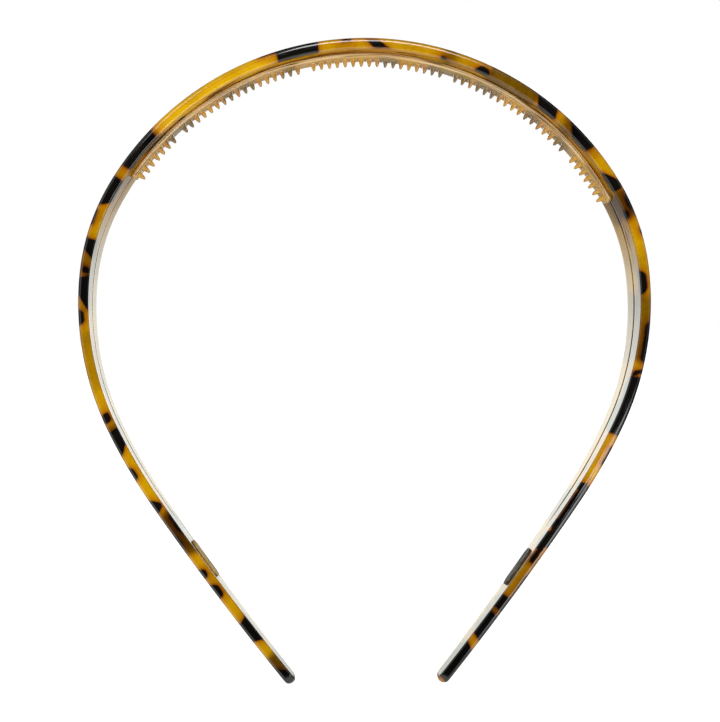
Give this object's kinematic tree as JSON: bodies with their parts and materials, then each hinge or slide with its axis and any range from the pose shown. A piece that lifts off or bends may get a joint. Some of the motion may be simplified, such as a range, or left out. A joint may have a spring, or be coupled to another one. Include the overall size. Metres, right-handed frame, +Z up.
{
  "type": "headband",
  "caption": "Thin tortoiseshell headband: an open hoop with legs tapering to round tips, a toothed comb strip inside the crown and a small oblong pad inside each leg.",
  "frame": {"origin": "middle of the crown's inner face, where the band sits on top of the head", "axes": "+Z up with the hoop as worn, tips down; +Y is depth, from the front edge to the back edge; +X is towards the right-hand leg seen from the front"},
  "size_m": [0.1334, 0.014, 0.1513],
  "materials": {
    "tortoiseshell": "polished tortoiseshell cellulose acetate, amber with black-brown blotches",
    "comb_acetate": "polished translucent amber acetate with brown patches",
    "smoked_vinyl": "satin smoked translucent soft vinyl"
  },
  "bodies": {
    "root": {"band": "tortoiseshell", "comb_strip": "comb_acetate", "grip_pad_left": "smoked_vinyl", "grip_pad_right": "smoked_vinyl"}
  },
  "joints": []
}
